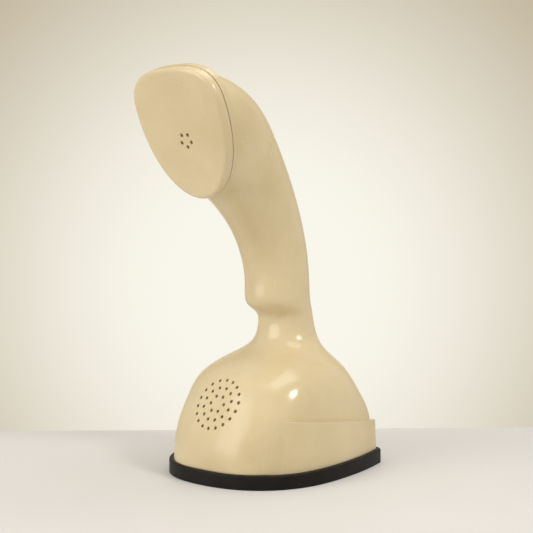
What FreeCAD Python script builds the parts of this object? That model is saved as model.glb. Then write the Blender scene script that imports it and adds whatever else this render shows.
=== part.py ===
import FreeCAD, Part
import math
import os
import re
import Sketcher
from FreeCAD import Placement, Rotation, Vector

# One-piece standing telephone: the housing is the handset, and the dial and the hook switch are in its
# base. Millimetres, +Z up, the microphone and the ear cap face -Y. The origin lies on the surface that
# the foot ring stands on, under the middle of the whole telephone.

doc = FreeCAD.newDocument("standing_telephone")
sheet = doc.addObject("Spreadsheet::Sheet", "dims")
SUBPARTS = []


# ---------------------------------------------------------------- driving dimensions
DIMENSIONS = {
    # plan outline of the base, and the shell that stands on it
    "plan_y": 3.0,
    "plan_half_width": 49.1,
    "plan_front_reach": 50.5,
    "plan_front_power": 2.32,
    "plan_side_length": 52,
    "plan_side_taper": 16,
    "plan_corner_radius": 10,
    "plan_corner_turn": 21,
    "shell_wall": 2.6,
    "shell_foot": 1.4,
    "skirt_inset": 2.6,
    "skirt_draft": 2.5,
    "skirt_front_tuck": 9,
    "ledge_height": 31,
    "ledge_fall": 7.4,
    "ring_height": 7.4,
    "ring_wall": 3.0,
    "ring_floor": 1.2,
    "ring_flange": 2.7,
    # microphone grille
    "grille_y": -33.3,
    "grille_height": 40.7,
    "grille_tilt": 29.7,
    "grille_pitch": 4.65,
    "grille_hole_radius": 0.95,
    # ear cap
    "ear_y": -51.0,
    "ear_height": 181.8,
    "ear_lean": 21.8,
    "ear_half_width": 30.4,
    "ear_top_reach": 37.0,
    "ear_tip_reach": 33.3,
    "ear_widest": 13.0,
    "ear_top_power": 2.9,
    "ear_tip_power": 2.0,
    "ear_seam": 0.45,
    "lip_clearance": 0.2,
    "ear_cap_thickness": 4.8,
    "ear_cap_wall": 2.0,
    "ear_cap_round": 2.4,
    "ear_dish_depth": 0.9,
    "ear_dish_radius": 27.0,
    "ear_flange": 3.3,
    "ear_flange_step": 1.7,
    "ear_hole_ring": 3.54,
    "ear_hole_radius": 1.0,
    # base plate, its dial well and its screws
    "plate_bottom": 1.4,
    "plate_thickness": 2.0,
    "plate_gap": 0.3,
    "well_radius": 38.6,
    "well_wall": 1.8,
    "well_roof": 9.0,
    "well_roof_thickness": 1.6,
    "boss_radius": 3.6,
    "screw_radius": 1.4,
    "screw_head_radius": 2.7,
    "screw_head_height": 1.1,
    # dial
    "dial_y": 10.0,
    "wheel_radius": 37.0,
    "wheel_bottom": 3.4,
    "wheel_thickness": 1.8,
    "finger_hole_radius": 6.4,
    "finger_ring_radius": 28.4,
    "shaft_radius": 5.0,
    "shaft_bore": 2.7,
    "frame_plate_radius": 30.0,
    "frame_lower": 10.6,
    "frame_upper": 25.0,
    "frame_thickness": 1.5,
    "running_gap": 0.05,
    "main_teeth": 48,
    "pinion_teeth": 12,
    "idler_teeth": 40,
    "governor_teeth": 10,
    "main_module": 0.6,
    "fast_module": 0.5,
    # hook switch
    "button_radius": 9.2,
    "button_bottom": 0.3,
    "button_height": 3.6,
    "plunger_radius": 2.6,
    "plunger_top": 29.0,
    # chassis board
    "board_height": 37.0,
    "board_thickness": 1.6,
    "board_half_width": 32.0,
    "board_front": -11.0,
    "board_back": 36.0,
    # microphone and receiver capsules
    "mic_depth": 4.6,
    "mic_radius": 17.0,
    "mic_thickness": 11.0,
    "mic_boss_offset": 24.5,
    "receiver_radius": 18.4,
    "receiver_thickness": 12.0,
    "receiver_boss_offset": 22.0,
    "strap_width": 5.0,
    "strap_thickness": 1.5,
    "grommet_height": 14.0,
    "cord_radius": 2.6,
}

# Cross-sections of the housing, from the foot up to the mouth behind the ear cap: front point y, z, back
# point y, z, half width, share of the way back where the section is widest, and the roundness powers of
# its front and back halves (2 is an ellipse). The y values count from plan_y.
SECTIONS = {
    "foot": (-48.2, -2, 60, -2, 42.6, 0.46, 2.75, 4.1),
    "heel": (-48.0, 8, 60, 8, 42.4, 0.46, 2.75, 4.1),
    "skirt": (-44.6, 26, 59.4, 26, 41.6, 0.46, 2.85, 4.2),
    "dome": (-37.0, 40.3, 53.8, 41, 41.4, 0.46, 2.65, 3.15),
    "shoulder": (-29, 52.3, 47.4, 54.5, 37.3, 0.47, 2.55, 2.5),
    "crown": (-14.4, 61.5, 39.4, 65, 26.8, 0.49, 2.3, 2.15),
    "neck_root": (0, 68.5, 36.6, 74, 18.4, 0.5, 2.1, 2),
    "neck": (4.5, 76.5, 34.3, 82, 16.5, 0.5, 2, 2),
    "recess": (3.6, 85.4, 32.8, 88, 16.5, 0.5, 2, 2),
    "step": (-4.0, 90.0, 32.2, 92.5, 17.2, 0.5, 2, 2),
    "grip_low": (-6.2, 101, 30.9, 103, 17.8, 0.5, 2, 2),
    "grip": (-9.1, 118, 28.3, 122, 18.3, 0.5, 2, 2),
    "grip_high": (-17.2, 132, 22.0, 144, 19, 0.5, 2, 2),
    "bend": (-28.3, 143.5, 10.7, 166.8, 21, 0.51, 2, 2),
    "hood_low": (-36.6, 149.5, -5.2, 188.4, 24, 0.54, 2, 2.1),
    "hood": (-40.2, 151, -25.4, 204.9, 27, 0.6, 2, 2.4),
    "hood_top": (-41.4, 151.5, -48, 213.0, 28.6, 0.64, 2, 2.7),
    "mouth": (-46.0, 151.2, -69.6, 212.9, 28.8, 0.66, 2, 2.8),
}
SECTION_FIELDS = ("front_y", "front_z", "back_y", "back_z", "half_width", "widest", "front_power", "back_power")


def fill_sheet():
    rows = list(DIMENSIONS.items())
    for name, numbers in SECTIONS.items():
        rows += [(name + "_" + field, number) for field, number in zip(SECTION_FIELDS, numbers)]
    for row, (alias, number) in enumerate(rows, start=1):
        sheet.set("A%d" % row, alias.replace("_", " "))
        sheet.set("B%d" % row, str(number))
        sheet.setAlias("B%d" % row, alias)
    doc.recompute()


def size(formula):
    """Value of a sheet alias or of a formula of aliases."""
    return float(sheet.evalExpression(formula))


def bound(formula):
    """The same formula as another object of the document has to write it."""
    return re.sub(r"[a-z]\w*", lambda word: "dims." + word.group(0), formula)


fill_sheet()
EPS = 0.01


# ---------------------------------------------------------------- shared ways of making a piece
def keep(piece, label):
    """Marks an object as a sub-part: its label names its node and its file."""
    piece.Label = label
    SUBPARTS.append(piece)
    return piece


def move_to(piece, x, y, z):
    """Binds an object's position to three formulas."""
    for axis, formula in zip("xyz", (x, y, z)):
        piece.setExpression(".Placement.Base." + axis, bound(formula))
    return piece


def cylinder(radius, height, x="0", y="0", z="0"):
    piece = doc.addObject("Part::Cylinder", "cylinder")
    piece.setExpression("Radius", bound(radius))
    piece.setExpression("Height", bound(height))
    return move_to(piece, x, y, z)


def block(length, width, height, x="0", y="0", z="0"):
    """A box centred on x and y, standing on z."""
    piece = doc.addObject("Part::Box", "block")
    piece.setExpression("Length", bound(length))
    piece.setExpression("Width", bound(width))
    piece.setExpression("Height", bound(height))
    return move_to(piece, "%s - (%s) / 2" % (x, length), "%s - (%s) / 2" % (y, width), z)


def tube(outer, inner, height, x="0", y="0", z="0"):
    return cut(cylinder(outer, height, x, y, z), cylinder(inner, "%s + 2" % height, x, y, "%s - 1" % z))


def fuse(*pieces):
    joined = doc.addObject("Part::MultiFuse", "joined")
    joined.Shapes = list(pieces)
    return joined


def group(*pieces):
    """Separate solids that share one node."""
    together = doc.addObject("Part::Compound", "together")
    together.Links = list(pieces)
    return together


def cut(base, *tools):
    trimmed = doc.addObject("Part::Cut", "trimmed")
    trimmed.Base = base
    trimmed.Tool = tools[0] if len(tools) == 1 else fuse(*tools)
    return trimmed


def origin_plane(body, role):
    return [feature for feature in body.Origin.OriginFeatures if feature.Role == role][0]


def polygon_sketch(body, role, corners):
    """A closed outline whose corners are pairs of formulas, each held by two dimensions."""
    sketch = body.newObject("Sketcher::SketchObject", "outline")
    sketch.AttachmentSupport = [(origin_plane(body, role), "")]
    sketch.MapMode = "FlatFace"
    points = [Vector(size(across), size(up), 0) for across, up in corners]
    for start, end in zip(points, points[1:] + points[:1]):
        sketch.addGeometry(Part.LineSegment(start, end), False)
    for index in range(len(points)):
        sketch.addConstraint(Sketcher.Constraint("Coincident", index, 2, (index + 1) % len(points), 1))
    for index, corner in enumerate(corners):
        for kind, formula in zip(("DistanceX", "DistanceY"), corner):
            number = sketch.addConstraint(Sketcher.Constraint(kind, -1, 1, index, 1, size(formula)))
            sketch.setExpression("Constraints[%d]" % number, bound(formula))
    return sketch


def turned(corners):
    """A body turned about its own Z axis from an outline of (radius, height) formulas."""
    body = doc.addObject("PartDesign::Body", "turned")
    sketch = polygon_sketch(body, "XZ_Plane", corners)
    turn = body.newObject("PartDesign::Revolution", "turn")
    turn.Profile = sketch
    turn.ReferenceAxis = (sketch, ["V_Axis"])
    turn.Angle = 360
    return body


def padded(corners, thickness):
    """A flat body from an outline of (x, y) formulas."""
    body = doc.addObject("PartDesign::Body", "flat")
    sketch = polygon_sketch(body, "XY_Plane", corners)
    pad = body.newObject("PartDesign::Pad", "pad")
    pad.Profile = sketch
    pad.setExpression("Length", bound(thickness))
    return body


def solid_feature(shape, place=None):
    """A feature whose shape is worked out in code from the sheet's sizes."""
    piece = doc.addObject("Part::Feature", "shaped")
    piece.Shape = shape
    if place is not None:
        piece.Placement = place
    return piece


def grille_place(across=0, up=0, out=0):
    """On the microphone's axis: X across, Y up the dome, Z out through the grille."""
    turn = Rotation(Vector(1, 0, 0), 90 - size("grille_tilt"))
    start = Vector(0, size("grille_y"), size("grille_height"))
    return Placement(start + turn.multVec(Vector(across, up, out)), turn)


def ear_place(across=0, up=0, out=0):
    """On the seam plane of the ear cap: X across, Y up the cap, Z out of the cap's face."""
    turn = Rotation(Vector(1, 0, 0), 90 + size("ear_lean"))
    start = Vector(0, size("ear_y"), size("ear_height"))
    return Placement(start + turn.multVec(Vector(across, up, out)), turn)


def dial_at(radius, angle):
    """Formulas for a point on a circle round the dial's axis."""
    x = "%.4f" % (radius * math.cos(math.radians(angle)))
    y = "dial_y + %.4f" % (radius * math.sin(math.radians(angle)))
    return x, y


# ---------------------------------------------------------------- outlines and skins of the shell
def power_curve(cosine, power):
    return math.copysign(abs(cosine) ** (2 / power), cosine)


def plan_outline(inset=0, height=0, front_tuck=0):
    """The base's plan: a full round front, sides that draw in, round corners and a bowed back."""
    half, reach = size("plan_half_width") - inset, size("plan_front_reach") - inset - front_tuck
    length, taper = size("plan_side_length"), math.radians(size("plan_side_taper"))
    radius, turn = size("plan_corner_radius") - inset, math.radians(90 - size("plan_corner_turn"))
    power = size("plan_front_power")
    centre_y = size("plan_y")
    front = []
    for step in range(13):
        angle = math.radians(-90 + 7.5 * step)
        front.append(Vector(half * power_curve(math.cos(angle), power),
                            centre_y + reach * power_curve(math.sin(angle), power), height))
    draw_in = math.tan(taper) / (2 * length)
    side = []
    for step in range(5):
        along = length * step / 4
        side.append(Vector(half - draw_in * along ** 2, centre_y + along, height))
    corner = Vector(side[-1].x - radius * math.cos(taper), side[-1].y - radius * math.sin(taper), height)

    def on_corner(angle):
        return corner + Vector(radius * math.cos(angle), radius * math.sin(angle), 0)

    back_radius = corner.x / math.cos(turn) + radius
    back_centre = corner.y - (back_radius - radius) * math.sin(turn)
    rear = Vector(0, back_centre + back_radius, height)
    right = [spline(front), spline(side)]
    right.append(Part.Arc(on_corner(taper), on_corner((taper + turn) / 2), on_corner(turn)).toShape())
    left = [edge.mirror(Vector(), Vector(1, 0, 0)) for edge in right]
    back = Part.Arc(on_corner(turn), rear, mirrored(on_corner(turn))).toShape()
    return Part.Wire(Part.__sortEdges__(right + [back] + left))


def mirrored(point):
    return Vector(-point.x, point.y, point.z)


def spline(points):
    curve = Part.BSplineCurve()
    curve.interpolate(points)
    return curve.toShape()


def closed_curve(points):
    """A smooth closed curve with evenly spaced knots, so that the sections of a skin share them."""
    curve = Part.BSplineCurve()
    knots = [step / len(points) for step in range(len(points) + 1)]
    curve.interpolate(Points=points, PeriodicFlag=True, Parameters=knots)
    return curve


def round_section(front, back, half_width, widest, front_power, back_power, count=36, start=0.0):
    """A closed section between a front and a back point, widest at a share of the way back.
    It starts at its widest point, or at a share of a turn behind that."""
    along = back - front
    length = along.Length
    along.normalize()
    middle = front + along * (length * widest)
    points = []
    for step in range(count):
        angle = 2 * math.pi * (step / count + start)
        behind = math.sin(angle) > 0
        power = back_power if behind else front_power
        reach = length * (1 - widest) if behind else length * widest
        spread = abs(math.cos(angle) / half_width) ** power + abs(math.sin(angle) / reach) ** power
        radius = spread ** (-1 / power)
        points.append(middle + along * (radius * math.sin(angle)) + Vector(radius * math.cos(angle), 0, 0))
    return closed_curve(points)


def through(points, knots):
    curve = Part.BSplineCurve()
    curve.interpolate(Points=points, Parameters=knots)
    return curve


def section_rows(wall, steps=44):
    """Closely spaced sections that pass smoothly through the named ones, moved in by the wall."""
    fronts, backs, powers, knots = [], [], [], [0]
    for name in SECTIONS:
        number = {field: size(name + "_" + field) for field in SECTION_FIELDS}
        fronts.append(Vector(number["half_width"], size("plan_y") + number["front_y"], number["front_z"]))
        backs.append(Vector(number["widest"], size("plan_y") + number["back_y"], number["back_z"]))
        powers.append(Vector(number["front_power"], number["back_power"], len(powers)))
        if len(fronts) > 1:
            rise = (fronts[-1] - fronts[-2]).Length + (backs[-1] - backs[-2]).Length
            knots.append(knots[-1] + rise / 2)
    curves = [through(points, knots) for points in (fronts, backs, powers)]
    rows = []
    for step in range(steps + 1):
        place = knots[-1] * step / steps
        (front, front_run), (back, back_run) = [(curve.value(place), curve.tangent(place)[0])
                                                for curve in curves[:2]]
        power = curves[2].value(place)
        flare = math.hypot(1, front_run.x / math.hypot(front_run.y, front_run.z))
        front_in = Vector(0, front_run.z, -front_run.y).normalize()
        back_in = Vector(0, -back_run.z, back_run.y).normalize()
        rows.append((Vector(0, front.y, front.z) + front_in * wall, Vector(0, back.y, back.z) + back_in * wall,
                     front.x - wall * flare, back.x, power.x, power.y))
    return rows


PATCH_ROWS = (0, 3, 15, 24, 34, 44)


def skin(wall):
    """The housing's outer form, or its hollow when a wall thickness is given. The surface is laid
    out as front, back and side patches in five bands, which share their edges."""
    rounds = [round_section(*row, start=0.125) for row in section_rows(wall)]
    knots = list(range(len(rounds)))
    runs = [through(list(column), knots) for column in zip(*[curve.getPoles() for curve in rounds])]
    surface = Part.BSplineSurface()
    surface.buildFromPolesMultsKnots([run.getPoles() for run in runs], rounds[0].getMultiplicities(),
                                     runs[0].getMultiplicities(), rounds[0].getKnots(), runs[0].getKnots(),
                                     True, False, rounds[0].Degree, runs[0].Degree)
    quarters = [(turn / 4, (turn + 1) / 4) for turn in range(4)]
    patches = [surface.toShape(begin, end, low, high) for begin, end in quarters
               for low, high in zip(PATCH_ROWS, PATCH_ROWS[1:])]
    ends = [Part.Face(Part.Wire([surface.vIso(row).toShape(begin, end) for begin, end in quarters]))
            for row in (PATCH_ROWS[0], PATCH_ROWS[-1])]
    return Part.makeSolid(Part.makeShell(patches + ends))


def skirt(inset, below_ledge):
    """The drafted skirt round the back of the base, cut off by the sloping ledge."""
    top = 42
    foot = plan_outline(size("skirt_inset") + inset, 0)
    draft = top * math.tan(math.radians(size("skirt_draft")))
    head = plan_outline(size("skirt_inset") + inset + draft, top, size("skirt_front_tuck"))
    body = Part.makeLoft([foot, head], True, True)
    ledge = Part.makeBox(160, 200, 60, Vector(-80, -100, 0))
    ledge.Placement = Placement(Vector(0, size("plan_y"), size("ledge_height") - below_ledge),
                                Rotation(Vector(1, 0, 0), -size("ledge_fall")))
    return body.cut(ledge)


def ear_outline(inset, out):
    """The rounded-triangle outline of the ear cap, on its own plane."""
    tip, top = -size("ear_tip_reach") + inset, size("ear_top_reach") - inset
    wire = round_section(Vector(0, tip, out), Vector(0, top, out), size("ear_half_width") - inset,
                         (size("ear_widest") - tip) / (top - tip), size("ear_tip_power"),
                         size("ear_top_power"))
    return Part.Wire([wire.toShape()])


def ear_slab(inset, start, end):
    return Part.Face(ear_outline(inset, start)).extrude(Vector(0, 0, end - start))


def placed(shape, place):
    moved = shape.copy()
    moved.Placement = place
    return moved


# ---------------------------------------------------------------- housing
SCREW_SPOTS = ((-24, -35.6), (24, -35.6), (-33.4, 50.2), (33.4, 50.2))


def grille_spots():
    """Three rings of 6, 12 and 18 sound holes."""
    spots = []
    for ring, phase in ((1, 0), (2, 15), (3, 10)):
        for hole in range(6 * ring):
            angle = math.radians(phase + 60 * hole / ring)
            reach = ring * size("grille_pitch")
            spots.append((reach * math.cos(angle), reach * math.sin(angle)))
    return spots


def housing_outside():
    flange = ear_slab(0, -size("ear_flange"), 0)
    blend_end = -size("ear_flange") - size("ear_flange_step")
    blend = Part.makeLoft([ear_outline(0, -size("ear_flange")),
                           ear_outline(size("ear_flange_step"), blend_end)], True, True)
    beyond_seam = placed(Part.makeBox(120, 120, 40, Vector(-60, -60, 0)), ear_place())
    form = skin(0).cut(beyond_seam).fuse(skirt(0, 0))
    return form.fuse(placed(flange, ear_place())).fuse(placed(blend, ear_place()))


def housing_inside():
    wall = size("shell_wall")
    return skin(wall).fuse(skirt(wall, wall))


def round_bar(place, start, end, radius, turn=0):
    bar = Part.makeCylinder(radius, end - start, Vector(0, 0, start))
    return placed(bar, place.multiply(Placement(Vector(), Rotation(Vector(0, 0, 1), turn))))


def drilled(shell, place, start, end, radius):
    """Cuts a round hole. The drill's seam line is turned until it meets no edge of the shell."""
    for turn in (0, 90, 45, 135):
        opened = shell.cut(round_bar(place, start, end, radius, turn))
        if opened.isValid():
            return opened
    raise RuntimeError("a hole could not be drilled")


def with_boss(shell, outside, place, start, end, radius):
    """Adds a screw boss, trimmed so that it never stands through the outer surface."""
    for turn in (0, 90, 45, 135):
        grown = shell.fuse(round_bar(place, start, end, radius, turn).common(outside))
        if grown.isValid():
            return grown
    raise RuntimeError("a boss could not be joined")


def housing():
    """The moulded shell: dome, neck, handle and hood in one piece."""
    outside = housing_outside()
    shell = outside.cut(housing_inside())
    shell = shell.cut(Part.makeBox(160, 200, 40, Vector(-80, -100, size("shell_foot") - 40)))
    for across, up in grille_spots():
        shell = drilled(shell, grille_place(across, up), -7, 4, size("grille_hole_radius"))
    pilot = size("screw_radius") - 0.35
    for x, y in SCREW_SPOTS:
        spot = Placement(Vector(x, y + size("plan_y"), 0), Rotation())
        start = size("plate_bottom + plate_thickness") + 0.1
        shell = with_boss(shell, outside, spot, start, 24, size("boss_radius"))
        shell = drilled(shell, spot, 0, 16, pilot)
    mic_back, ear_back = size("mic_depth + mic_thickness"), size("receiver_thickness")
    for side in (-1, 1):
        spot = grille_place(side * size("mic_boss_offset"))
        shell = with_boss(shell, outside, spot, -mic_back, 0, 3)
        shell = drilled(shell, spot, -mic_back - 1, -mic_back + 7, pilot)
        spot = ear_place(side * size("receiver_boss_offset"))
        shell = with_boss(shell, outside, spot, -ear_back, -ear_back + 9, 3)
        shell = drilled(shell, spot, -ear_back - 1, -ear_back + 6, pilot)
    inlet = Placement(Vector(0, 70, size("grommet_height")), Rotation(Vector(1, 0, 0), 90))
    shell = drilled(shell, inlet, 0, 14, size("cord_radius") + 1.4)
    rebate = Part.makeBox(160, 200, size("ring_height") + 0.1, Vector(-80, -100, 0))
    rebate = rebate.cut(Part.Face(plan_outline(size("ring_wall") + 0.1)).extrude(Vector(0, 0, 20)))
    keep(solid_feature(shell.cut(rebate)), "housing")


# ---------------------------------------------------------------- ear cap and receiver
def ear_cap():
    """A shallow moulded lid with a rounded rim, a dished face and a lip that goes inside the hood."""
    seam, front = size("ear_seam"), size("ear_seam + ear_cap_thickness")
    lid = ear_slab(0, seam, front)
    rim = [edge for edge in lid.Edges if edge.BoundBox.ZMin > front - EPS]
    lid = lid.makeFillet(size("ear_cap_round"), rim)
    dish, depth = size("ear_dish_radius"), size("ear_dish_depth")
    ball = (dish ** 2 + depth ** 2) / (2 * depth)
    lid = lid.cut(Part.makeSphere(ball, Vector(0, 3, front - depth + ball)))
    hollow = ear_slab(6.4, seam - 1, front - size("ear_dish_depth + ear_cap_wall"))
    lip = ear_slab(4.6, -3, seam + 0.5).cut(ear_slab(6.4, -4, seam + 1))
    hood = placed(skin(size("shell_wall") + size("lip_clearance")), ear_place().inverse())
    lid = lid.fuse(lip.common(hood)).cut(hollow)
    holes = []
    for hole in range(5):
        angle = math.radians(54 + 72 * hole)
        reach = size("ear_hole_ring")
        place = Vector(reach * math.cos(angle), reach * math.sin(angle) - 1, -1)
        holes.append(Part.makeCylinder(size("ear_hole_radius"), 10, place))
    keep(solid_feature(lid.cut(holes), ear_place()), "ear_cap")


def capsule(label, corners, place):
    piece = turned(corners)
    piece.Placement = place
    return keep(piece, label)


def receiver():
    top = size("ear_seam + ear_cap_thickness - ear_dish_depth - ear_cap_wall")
    radius, deep = "receiver_radius", "receiver_thickness"
    capsule("ear_gasket", [(radius + " - 3.5", "0"), (radius, "0"), (radius, "%.3f" % top),
                           (radius + " - 3.5", "%.3f" % top)], ear_place())
    capsule("receiver_case", [("0", "-" + deep), (radius, "-" + deep), (radius, "0"), (radius + " - 4.5", "0"),
                              (radius + " - 4.5", "-1"), (radius + " - 1.2", "-1"),
                              (radius + " - 1.2", "1.2 - " + deep), ("0", "1.2 - " + deep)], ear_place())
    capsule("receiver_diaphragm", [("0", "-1.8"), (radius + " - 1.3", "-1.8"), (radius + " - 1.3", "-1.5"),
                                   ("0", "-1.5")], ear_place())
    capsule("receiver_magnet", [("0", "1.2 - " + deep), ("9", "1.2 - " + deep), ("9", "-7"), ("4", "-7"),
                                ("4", "-2.2"), ("0", "-2.2")], ear_place())
    capsule("receiver_coil", [("4.1", "-6.9"), ("8", "-6.9"), ("8", "-2.6"), ("4.1", "-2.6")], ear_place())
    strap_depth = size("receiver_thickness")
    fixed_strap("receiver", "receiver_boss_offset", ear_place, strap_depth)
    terminals = [tilted_cylinder(1.8, 1.2, ear_place(side * 6, 9, -strap_depth - 1.2)) for side in (-1, 1)]
    keep(group(*terminals), "receiver_terminals")


def tilted_cylinder(radius, height, place):
    piece = doc.addObject("Part::Cylinder", "cylinder")
    piece.Radius, piece.Height = radius, height
    piece.Placement = place
    return piece


def fixed_strap(name, offset, place, depth):
    """The metal strap that holds a capsule against its gasket, and its two screws."""
    thickness, width = size("strap_thickness"), size("strap_width")
    reach = size(offset)
    strap = doc.addObject("Part::Box", "strap")
    strap.setExpression("Length", bound("2 * %s + 4.2" % offset))
    strap.setExpression("Width", bound("strap_width"))
    strap.setExpression("Height", bound("strap_thickness"))
    strap.Placement = place(-reach - 2.1, -width / 2, -depth - thickness)
    holes = [tilted_cylinder(size("screw_radius") + 0.1, 6, place(side * reach, 0, -depth - 4))
             for side in (-1, 1)]
    keep(cut(strap, *holes), name + "_bracket")
    screws = []
    for side in (-1, 1):
        head = tilted_cylinder(2.1, 1.2, place(side * reach, 0, -depth - thickness - 1.2))
        shank = tilted_cylinder(1.0, 6, place(side * reach, 0, -depth - thickness - 0.2))
        screws.append(fuse(head, shank))
    keep(group(*screws), name + "_screws")


# ---------------------------------------------------------------- microphone behind the grille
def microphone():
    radius, front, deep = "mic_radius", "-mic_depth", "-(mic_depth + mic_thickness)"
    capsule("microphone_gasket", [(radius + " - 2.8", front), (radius + " - 0.8", front),
                                  (radius + " - 0.8", front + " + 0.4"),
                                  (radius + " - 2.8", front + " + 0.4")], grille_place())
    capsule("microphone_case", [("0", deep), (radius, deep), (radius, front), (radius + " - 1", front),
                                (radius + " - 1", deep + " + 1"), ("0", deep + " + 1")], grille_place())
    plate = turned([("0", front + " - 1"), (radius + " - 1.1", front + " - 1"),
                    (radius + " - 1.1", front + " - 0.2"), ("0", front + " - 0.2")])
    plate.Placement = grille_place()
    depth = size("mic_depth") + 2
    spots = [(0, 0)] + [(9 * math.cos(math.radians(60 * step)), 9 * math.sin(math.radians(60 * step)))
                        for step in range(6)]
    holes = [tilted_cylinder(1.2, 4, grille_place(across, up, -depth)) for across, up in spots]
    keep(cut(plate, *holes), "microphone_front_plate")
    capsule("microphone_diaphragm", [("0", front + " - 2.2"), (radius + " - 1.1", front + " - 2.2"),
                                     (radius + " - 1.1", front + " - 2"), ("0", front + " - 2")],
            grille_place())
    capsule("microphone_carbon_chamber", [("0", deep + " + 1"), ("7", deep + " + 1"), ("7", front + " - 3"),
                                          ("0", front + " - 3")], grille_place())
    fixed_strap("microphone", "mic_boss_offset", grille_place, size("mic_depth + mic_thickness"))


# ---------------------------------------------------------------- foot ring, base plate, cord inlet
def plan_slab(inset, start, end):
    return Part.Face(plan_outline(inset, start)).extrude(Vector(0, 0, end - start))


def foot_ring():
    """Rubber ring with an inner ledge that the housing and the base plate sit on."""
    wall, floor, top = size("ring_wall"), size("ring_floor"), size("ring_height")
    ring = plan_slab(0, 0, top)
    crown = [edge for edge in ring.Edges if edge.BoundBox.ZMin > top - EPS]
    ring = ring.makeFillet(0.7, crown)
    ring = ring.cut(plan_slab(wall, floor, top + 1)).cut(plan_slab(wall + size("ring_flange"), -1, top))
    keep(solid_feature(ring), "foot_ring")


def base_plate():
    """Moulded floor of the telephone with the well that the dial sits in."""
    bottom, thickness = size("plate_bottom"), size("plate_thickness")
    inset = size("skirt_inset + shell_wall + plate_gap") + 0.3
    sheet_shape = plan_slab(inset, bottom, bottom + thickness)
    dial = Vector(0, size("dial_y"), 0)
    well, wall, roof = size("well_radius"), size("well_wall"), size("well_roof")
    outer = Part.makeCylinder(well + wall, roof + size("well_roof_thickness") - bottom,
                              dial + Vector(0, 0, bottom))
    hollow = Part.makeCylinder(well, roof - bottom + 1, dial + Vector(0, 0, bottom - 1))
    centre = Part.makeCylinder(24, 20, dial)
    plate = sheet_shape.fuse(outer).cut([hollow, centre])
    holes = []
    for x, y in SCREW_SPOTS:
        spot = Vector(x, y + size("plan_y"), 0)
        holes.append(Part.makeCylinder(size("screw_radius") + 0.15, 10, spot))
    for angle in (45, 165, 285):
        at = dial + Vector(27 * math.cos(math.radians(angle)), 27 * math.sin(math.radians(angle)), 0)
        holes.append(Part.makeCylinder(1.5, 20, at))
    keep(solid_feature(plate.cut(holes).removeSplitter()), "base_plate")
    screws = []
    for x, y in SCREW_SPOTS:
        place = (str(x), "plan_y + %s" % y)
        head = cylinder("screw_head_radius", "screw_head_height", *place, "plate_bottom - screw_head_height")
        shank = cylinder("screw_radius - 0.4", "13", *place, "plate_bottom - 0.1")
        screws.append(fuse(head, shank))
    keep(group(*screws), "base_screws")


def cord_grommet():
    """Rubber bush in the back of the base where a line cord comes in."""
    hole, shell = size("cord_radius") + 1.4, size("plan_y") + 65.2 - size("skirt_inset")
    bush = turned([("cord_radius", "-4"), ("%.2f" % (hole + 1.6), "-4"), ("%.2f" % (hole + 1.6), "-1.6"),
                   ("%.2f" % (hole - 0.1), "-1.6"), ("%.2f" % (hole - 0.1), "2.4"), ("cord_radius", "2.4")])
    bush.Placement = Placement(Vector(0, shell - size("shell_wall") + 0.2, size("grommet_height")),
                               Rotation(Vector(1, 0, 0), -90))
    keep(bush, "cord_grommet")


# ---------------------------------------------------------------- dial
def dial_face():
    ring = turned([("24.5", "well_roof - 0.8"), ("well_radius - 0.2", "well_roof - 0.8"),
                   ("well_radius - 0.2", "well_roof"), ("24.5", "well_roof")])
    move_to(ring, "0", "dial_y", "0")
    tools = [cylinder("1.5", "4", *dial_at(27, angle), "well_roof - 2") for angle in (45, 165, 285)]
    keep(cut(ring, *tools), "number_ring")
    wheel = turned([("button_radius + 0.5", "wheel_bottom"), ("wheel_radius - 0.4", "wheel_bottom"),
                    ("wheel_radius", "wheel_bottom + 0.5"), ("wheel_radius", "wheel_bottom + wheel_thickness"),
                    ("14", "wheel_bottom + wheel_thickness"), ("13", "wheel_bottom + 3.6"),
                    ("shaft_radius - 1", "wheel_bottom + 3.6"), ("shaft_radius - 1", "wheel_bottom + 2.4"),
                    ("button_radius + 0.5", "wheel_bottom + 2.4")])
    move_to(wheel, "0", "dial_y", "0")
    tools = []
    for hole in range(10):
        spot = dial_at(size("finger_ring_radius"), -30 + 30 * hole)
        tools.append(cylinder("finger_hole_radius", "wheel_thickness + 4", *spot, "wheel_bottom - 1"))
    keep(cut(wheel, *tools), "finger_wheel")
    stop = fuse(block("1.0", "7", "well_roof - 2.8", "well_radius - 0.8", "dial_y", "2"),
                block("13.6", "5", "0.8", "well_radius - 7.1", "dial_y", "2"))
    keep(turned_about_dial(stop, -58), "finger_stop")


def turned_about_dial(piece, angle):
    """Wraps a piece in a compound that is turned about the dial's axis."""
    holder = doc.addObject("Part::Compound", "turned_group")
    holder.Links = [piece]
    spin = Placement(Vector(), Rotation(Vector(0, 0, 1), angle), Vector(0, size("dial_y"), 0))
    holder.Placement = spin
    return holder


def gear_wire(teeth, module, backlash=0.16):
    """Outline of an involute spur gear with one tooth centred on +X."""
    pitch, outer, root = teeth * module / 2, teeth * module / 2 + module, teeth * module / 2 - 1.25 * module
    ground = pitch * math.cos(math.radians(20))
    half = math.pi / (2 * teeth) - backlash / (2 * pitch)

    def involute(radius):
        angle = math.acos(min(1, ground / radius))
        return math.tan(angle) - angle

    flank = []
    for step in range(5):
        radius = max(ground, root) + (outer - max(ground, root)) * step / 4
        flank.append((radius, half + involute(pitch) - involute(radius)))
    flank.insert(0, (root, flank[0][1]))
    points = []
    for tooth in range(teeth):
        middle = 2 * math.pi * tooth / teeth
        for radius, angle in [(r, -a) for r, a in flank] + [(r, a) for r, a in reversed(flank)]:
            points.append(Vector(radius * math.cos(middle + angle), radius * math.sin(middle + angle), 0))
    return Part.makePolygon(points + points[:1])


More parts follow.
